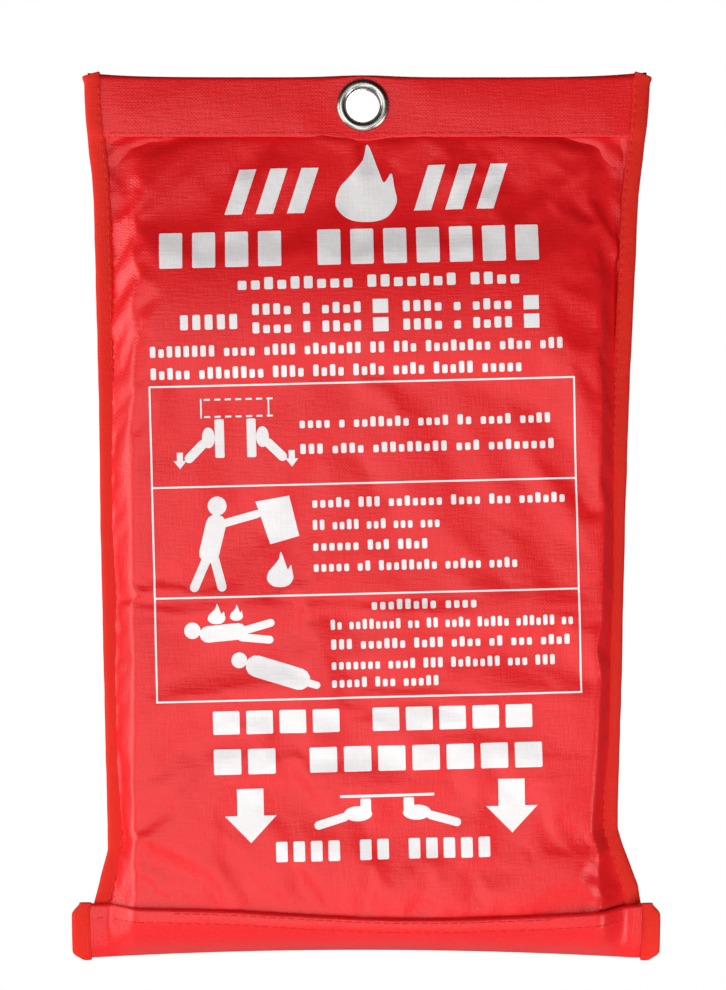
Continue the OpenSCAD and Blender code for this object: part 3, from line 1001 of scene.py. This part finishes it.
def pack_taper(z):
    """Share of its thickness that the pack keeps at each height, thinning to the top."""
    inner = full_depth(z) - 1.3
    return np.clip(inner / (FULL_DEPTH - 1.7), 0.08, 1.0)


def serpentine(layer, pitch, steps=16, turn_steps=5):
    """Place along the layers, and stack height, of the sheet folded across."""
    rng = np.random.default_rng(5)
    along, height = [], []
    for k in range(LAYERS_ACROSS):
        run = min(layer, SHEET_SIDE - k * layer)
        if run <= 0:
            break
        way = 1 if k % 2 == 0 else -1
        inset = rng.uniform(0, 0.9)
        end = -layer / 2 + run - inset
        along.append(way * np.linspace(-layer / 2 + inset, end, steps))
        height.append(np.full(steps, (k + 0.5) * pitch))
        if k < LAYERS_ACROSS - 1 and SHEET_SIDE > (k + 1) * layer:
            turn = np.linspace(0, np.pi, turn_steps + 2)[1:-1]
            along.append(way * (end + pitch / 2 * np.sin(turn)))
            height.append((k + 1) * pitch - pitch / 2 * np.cos(turn))
    return np.concatenate(along), np.concatenate(height)


def make_blanket():
    """One sheet, folded across into a bundle that is then folded down the pouch."""
    width = pack_high[0] - pack_low[0] - 1.0
    bottom, top = pack_low[2] + 0.6, pack_high[2] - 0.4
    total = pack_high[1] - pack_low[1]
    pitch = (total - 0.6) / (LAYERS_ACROSS * LAYERS_DOWN)
    bundle = pitch * LAYERS_ACROSS
    u_x, u_h = serpentine(width, pitch)
    rows = []
    for k in range(LAYERS_DOWN):
        way = 1 if k % 2 == 0 else -1
        local = u_h if way > 0 else bundle - u_h
        for z in np.linspace(bottom + bundle / 2, top - bundle / 2, RUN_ROWS)[::way]:
            rows.append((np.full_like(u_x, z), k * bundle + local))
        if k < LAYERS_DOWN - 1:
            end = top - bundle / 2 if way > 0 else bottom + bundle / 2
            radius = bundle - local
            for a in np.linspace(0, np.pi, 9)[1:-1]:
                rows.append((end + way * radius * np.sin(a) * 0.55, (k + 1) * bundle - radius * np.cos(a)))
    z = np.array([r[0] for r in rows])
    h = np.array([r[1] for r in rows]) - bundle * LAYERS_DOWN / 2
    x = np.broadcast_to(u_x, z.shape).copy()
    flat = xyz(x, 0, z)
    swell = 1 + 0.03 * ripple(flat, 45, 71)
    side_slump = 1 - 0.10 * (np.abs(x) / (width / 2)) ** 6
    y = -h * swell * side_slump * pack_taper(z) + 0.35 * ripple(flat, 28, 73)
    x = x + 0.5 * ripple(xyz(0, h * 3, z), 20, 72) * (np.abs(x) / (width / 2)) ** 2
    piece = grid_piece("blanket_cloth", xyz(x, y, z), GLASS)
    thicken(piece, GLASS_T, offset=0.0)
    attach(piece, "blanket", "folded_blanket")


def make_blanket_hem():
    run = xyz(44.0, pack_low[1] - 0.05, np.arange(pack_low[2] + 7, -66, 1.5))
    make_stitches("blanket_hem_stitches", [run], "blanket", "blanket_hem_stitching", WHITE_THREAD)


# --- Pull tapes ---
RIBBON_COLUMNS = 17


def ribbon(name, node, corner, y0, y1, body, rows=60):
    """A doubled strap of webbing: corner(u, v) gives x and z; two layers meet in a groove."""
    v = np.linspace(-1, 1, RIBBON_COLUMNS)
    thick = (y1 - y0) / 2 * (1 - np.abs(v) ** 6) ** 0.35
    loop_v = np.concatenate([v, v[::-1][1:-1]])
    loop_y = np.concatenate([-thick, thick[::-1][1:-1]])
    edge_groove = np.where(np.abs(loop_v) > 0.97, 0.0, 1.0)
    grid = []
    for u in np.linspace(0, 1, rows):
        x, z = corner(u, loop_v)
        end = min(1.0, 0.35 + 8 * min(u, 1 - u))
        rib = 1 + 0.05 * math.sin(u * rows * 2.1) * (np.abs(loop_v) > 0.8)
        grid.append(xyz(x, (y0 + y1) / 2 + loop_y * end * edge_groove * rib, z))
    piece = new_piece(name, np.concatenate(grid), tube_faces(rows, len(loop_v)), WEBBING)
    attach(piece, body, node)


FOLD_GAP = 0.2


def make_tapes(side):
    word = SIDES[side]
    low, high = box_mm("tape_anchor_" + word)
    free_low, free_high = box_mm("pull_tape_" + word)
    inner, outer = sorted((side * low[0], side * high[0]))
    width = outer - inner
    end = min(side * free_low[0], side * free_high[0])

    def anchor(u, v):
        foot = low[2] + (v + 1) / 2 * width
        return side * (inner + width * (v + 1) / 2), high[2] + (foot + FOLD_GAP - high[2]) * u

    def free(u, v):
        fold = inner + (v + 1) / 2 * width
        z = free_low[2] + (v + 1) / 2 * (free_high[2] - free_low[2])
        return side * (end + (fold - FOLD_GAP - end) * u), z

    ribbon("tape_end_" + word, "tape_anchor_" + word, anchor, low[1], high[1], "blanket", rows=40)
    ribbon("pull_tape_strap_" + word, "pull_tape_" + word, free, free_low[1], free_high[1], "tape_" + word)
    middle_z = (free_low[2] + free_high[2]) / 2
    z = np.linspace(middle_z - 6.5, middle_z + 6.5, 12)
    runs = [xyz(side * (end + inset), free_low[1] - 0.05, z) for inset in (3, 8)]
    make_stitches("tape_stitches_" + word, runs, "tape_" + word, "tape_stitching_" + word, TAPE_THREAD)


# --- Print ---
PRINT_TILT = math.radians(1.4)
PRINT_PIVOT = np.array([0, -130])
PRINT_CELL = 1.5
INK_LIFT = 0.11
INK_STEP = 0.012
INK_STEPS = 5
INK_T = 0.05


def bar(x0, x1, z0, z1, corner=0.35):
    """A filled rectangle with small cut corners, as a list of points."""
    c = min(corner, (x1 - x0) / 3, (z1 - z0) / 3)
    return [(x0 + c, z0), (x1 - c, z0), (x1, z0 + c), (x1, z1 - c),
            (x1 - c, z1), (x0 + c, z1), (x0, z1 - c), (x0, z0 + c)]


def stroke(ax, az, bx, bz, width):
    """A bar that follows a line and runs a little past its ends."""
    length = math.hypot(bx - ax, bz - az)
    ux, uz = (bx - ax) / length * width, (bz - az) / length * width
    ax, az, bx, bz = ax - ux / 3, az - uz / 3, bx + ux / 3, bz + uz / 3
    px, pz = -uz / 2, ux / 2
    return [(ax - px, az - pz), (bx - px, bz - pz), (bx + px, bz + pz), (ax + px, az + pz)]


def oval(cx, cz, rx, rz, count=18):
    turns = [2 * math.pi * k / count for k in range(count)]
    return [(cx + rx * math.cos(a), cz + rz * math.sin(a)) for a in turns]


def limb(ax, az, bx, bz, width):
    """A stroke with round ends."""
    turn = math.atan2(bz - az, bx - ax)
    r, shape = width / 2, []
    for cx, cz, start in ((bx, bz, turn - math.pi / 2), (ax, az, turn + math.pi / 2)):
        turns = [start + k * math.pi / 6 for k in range(7)]
        shape += [(cx + r * math.cos(a), cz + r * math.sin(a)) for a in turns]
    return shape


def blocks(x0, x1, z0, z1, words, gap=0.36, low_share=0.6, seed=0):
    """Plain blocks in place of a line of print: words says how many there are in each group."""
    rng = np.random.default_rng(seed)
    step = (x1 - x0) / (sum(words) + 0.8 * (len(words) - 1))
    shapes, x = [], x0
    for word in words:
        for _ in range(word):
            top = z1 - (z1 - z0) * (0.26 if rng.random() < low_share else 0)
            shapes.append(bar(x, x + step * (1 - gap), z0, top))
            x += step
        x += 0.8 * step
    return shapes


def down_arrow(cx, top, bottom, width, shaft):
    head = top - (top - bottom) * 0.5
    return [(cx - shaft / 2, top), (cx - shaft / 2, head), (cx - width / 2, head), (cx, bottom),
            (cx + width / 2, head), (cx + shaft / 2, head), (cx + shaft / 2, top)]


FLAME = [(0, 0), (0.3, 0.05), (0.47, 0.24), (0.44, 0.44), (0.4, 0.62), (0.28, 0.5), (0.2, 0.66),
         (0.04, 1), (-0.04, 0.8), (-0.22, 0.62), (-0.42, 0.44), (-0.48, 0.22), (-0.3, 0.05)]


def flame(cx, low, width, height, steps=4):
    """A plain flame with one side tongue: a smooth closed curve through a few points."""
    shape, n = [], len(FLAME)
    for i in range(n):
        p = [np.array(FLAME[(i + k) % n]) for k in (-1, 0, 1, 2)]
        for t in np.arange(steps) / steps:
            q = 0.5 * (2 * p[1] + (p[2] - p[0]) * t + (2 * p[0] - 5 * p[1] + 4 * p[2] - p[3]) * t**2
                       + (3 * p[1] - p[0] - 3 * p[2] + p[3]) * t**3)
            shape.append((cx + width * q[0], low + height * q[1]))
    return shape


def frame_lines():
    left, right, top, bottom = -68.5, 69.5, -91.5, -194.0
    shapes = [stroke(left, z, right, z, 0.6) for z in (top, bottom)]
    shapes += [stroke(x, top, x, bottom, 0.6) for x in (left, right)]
    return shapes + [stroke(left, z, right, z, 0.6) for z in (-124.3, -160.3)]


def pull_picture():
    """A bag drawn in dashes, two tapes held by two mitts, and an arrow by each."""
    shapes = []
    for x in np.arange(-51, -30, 3.4):
        shapes += [bar(x, x + 2, -96.3, -95.7, 0.1), bar(x, x + 2, -101.9, -101.3, 0.1)]
    shapes += [stroke(x, -95.8, x, -101.8, 0.5) for x in (-52, -30)]
    for side in (-1, 1):
        cx = -41 + side * 5.2
        shapes += [bar(cx - 1.5, cx + 1.5, -115, -102.4), oval(cx + side * 3.6, -108.4, 2.1, 3.4)]
        shapes += [limb(cx + side * 5.5, -110.5, cx + side * 10, -115, 3)]
        shapes += [down_arrow(cx + side * 13, -113, -118.4, 4.2, 2)]
    return shapes


def drape_picture():
    """A plain figure that holds a cloth over a fire."""
    cloth = [(-35, -129.5), (-24, -127.8), (-21, -141), (-30.5, -143.5)]
    return [oval(-47.5, -130.6, 3.1, 3.1),
            limb(-48, -136.5, -50.5, -146, 6.5), limb(-51, -147, -55.5, -157, 3),
            limb(-49, -147, -46.5, -157, 3), limb(-46, -136.5, -34.5, -133.5, 2.6),
            cloth, flame(-27.5, -157.5, 9, 11.5)]


def lying_picture():
    """Two plain figures on the ground: one on fire, one wrapped in a cloth."""
    return [oval(-56.5, -171, 2.7, 2.7), limb(-51.5, -172.3, -41.5, -171.5, 5.4),
            limb(-40.5, -171.5, -31, -169, 2.6), limb(-40.5, -173.5, -31.5, -174.5, 2.6),
            flame(-48.5, -169, 6, 6.6), flame(-42, -168, 4.4, 5.2),
            oval(-41.5, -181, 2.6, 2.6), limb(-36, -183, -22, -187.5, 7),
            limb(-19, -188.8, -16.5, -189.6, 2.4)]


def release_picture():
    """A bag's lower edge with two short tapes, each held by a mitt."""
    shapes = [stroke(-9.5, -226, 20.5, -226, 0.9)]
    for side in (-1, 1):
        cx = 5.5 + side * 7.0
        shapes += [bar(cx - 1.7, cx + 1.7, -233, -226.8), oval(cx + side * 2.6, -231.8, 4.6, 2.5)]
        shapes += [limb(cx + side * 7, -232.8, cx + side * 15.5, -235.3, 2.8)]
    return shapes


def emblem():
    """A flame between two groups of slanting bars."""
    shapes = [flame(3.5, -39, 21, 26)]
    for start in (-43, 19):
        for k in range(3):
            x, low, high = start + 10.2 * k, -35.5, -20.5
            slant = 0.34 * (high - low)
            shapes.append([(x, low), (x + 5.6, low), (x + 5.6 + slant, high), (x + slant, high)])
    return shapes


# Left, right and foot of each line of small print in the frame, and its groups
FRAMED_LINES = [
    (-20, 62.5, -106, [4, 1, 7, 4, 2, 4, 4]),
    (-20, 63.5, -114.4, [3, 4, 9, 3, 8]),
    (-16.5, 66.5, -132, [5, 3, 7, 4, 3, 6]),
    (-16.5, 25.5, -139.2, [2, 4, 3, 3, 3]),
    (-16.5, 21.5, -146, [6, 3, 4]),
    (-16.5, 50.5, -152.8, [5, 2, 8, 5, 4]),
    (2, 37, -165.6, [8, 4]),
    (-11.5, 68, -171.8, [2, 8, 2, 2, 4, 5, 6, 2]),
    (-11.5, 67, -178.2, [3, 6, 4, 4, 2, 3, 4]),
    (-11.5, 62, -184.8, [7, 4, 3, 7, 3, 3]),
    (-11.5, 24, -190.6, [5, 3, 5]),
]


def print_shapes():
    shapes = emblem()
    shapes += blocks(-64.5, 62.5, -53, -41.2, [4, 7], 0.30, 0, seed=1)
    shapes += blocks(-39, 54, -60.6, -56.6, [9, 7, 4], 0.34, 0.5, seed=2)
    shapes += blocks(-58, -38, -73.3, -68.4, [5], 0.36, 0, seed=3)
    seed = 4
    for z in (-68.9, -74.9):
        for x in (-34.5, 14.5):
            shapes += blocks(x, x + 36.5, z, z + 3.6, [4, 1, 4], 0.36, 0.4, seed)
            shapes.append(bar(x + 39.2, x + 44.2, z - 0.3, z + 4.3, 0.1))
            seed += 1
    shapes += blocks(-68, 67, -82, -78.4, [8, 4, 4, 7, 2, 3, 8, 4, 3], seed=9)
    shapes += blocks(-68, 53.5, -89.2, -85.4, [5, 8, 4, 4, 4, 4, 5, 5], seed=10)
    shapes += frame_lines()
    for k, (x0, x1, z, words) in enumerate(FRAMED_LINES):
        shapes += blocks(x0, x1, z, z + 3.3, words, seed=20 + k)
    shapes += blocks(-50.5, 55.5, -205, -197.4, [4, 5], 0.2, 0, seed=40)
    shapes += blocks(-50.5, 58.5, -218, -209.8, [2, 7], 0.2, 0, seed=41)
    shapes += pull_picture() + drape_picture() + lying_picture() + release_picture()
    shapes += [down_arrow(-39, -222.8, -240.4, 16.8, 8.6), down_arrow(46, -221.6, -239.2, 16.8, 8.6)]
    return shapes + blocks(-31, 40.5, -246.8, -240.2, [4, 2, 5], 0.34, 0, seed=42)


def tilted(point):
    c, s = math.cos(PRINT_TILT), math.sin(PRINT_TILT)
    x, z = np.array(point) - PRINT_PIVOT
    return Vector((x * c - z * s + PRINT_PIVOT[0], 0, x * s + z * c + PRINT_PIVOT[1])) * MM


def make_print(cloth):
    """Flat shapes cut into small cells and laid on the cloth's final surface.

    Shapes that cross each other lie at slightly different heights.
    """
    bm = bmesh.new()
    number = bm.faces.layers.int.new("number")
    for k, shape in enumerate(print_shapes()):
        bm.faces.new([bm.verts.new(tilted(p)) for p in shape])[number] = k
    bmesh.ops.recalc_face_normals(bm, faces=bm.faces)
    for axis, low, high in ((0, -75, 75), (2, -250, -10)):
        for at in np.arange(low, high, PRINT_CELL):
            normal = Vector((axis == 0, 0, axis == 2))
            bmesh.ops.bisect_plane(bm, geom=bm.verts[:] + bm.edges[:] + bm.faces[:], dist=1e-7,
                                   plane_co=normal * at * MM, plane_no=normal)
    bpy.context.view_layer.update()
    surface = BVHTree.FromObject(cloth, bpy.context.evaluated_depsgraph_get())
    for v in bm.verts:
        hit, normal, _, _ = surface.ray_cast(Vector((v.co.x, -0.05, v.co.z)), Vector((0, 1, 0)))
        lift = INK_LIFT + INK_STEP * (v.link_faces[0][number] % INK_STEPS)
        v.co = hit + (normal if normal.y < 0 else -normal) * lift * MM
    for f in bm.faces:
        if f.normal.y > 0:
            f.normal_flip()
    mesh = bpy.data.meshes.new("front_print")
    bm.to_mesh(mesh)
    bm.free()
    mesh.materials.append(INK)
    piece = add_object("front_print", mesh)
    thicken(piece, INK_T)
    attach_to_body(piece, "pouch")


make_print(make_front_panel())
make_back_panel()
make_header()
for hand in SIDES:
    make_side_binding(hand)
make_flap()
for hand in SIDES:
    make_flap_binding(hand)
make_strips()
make_pouch_seams()
make_flap_seams()
make_loop_seam()
finish_eyelet()
make_blanket()
make_blanket_hem()
for hand in SIDES:
    make_tapes(hand)
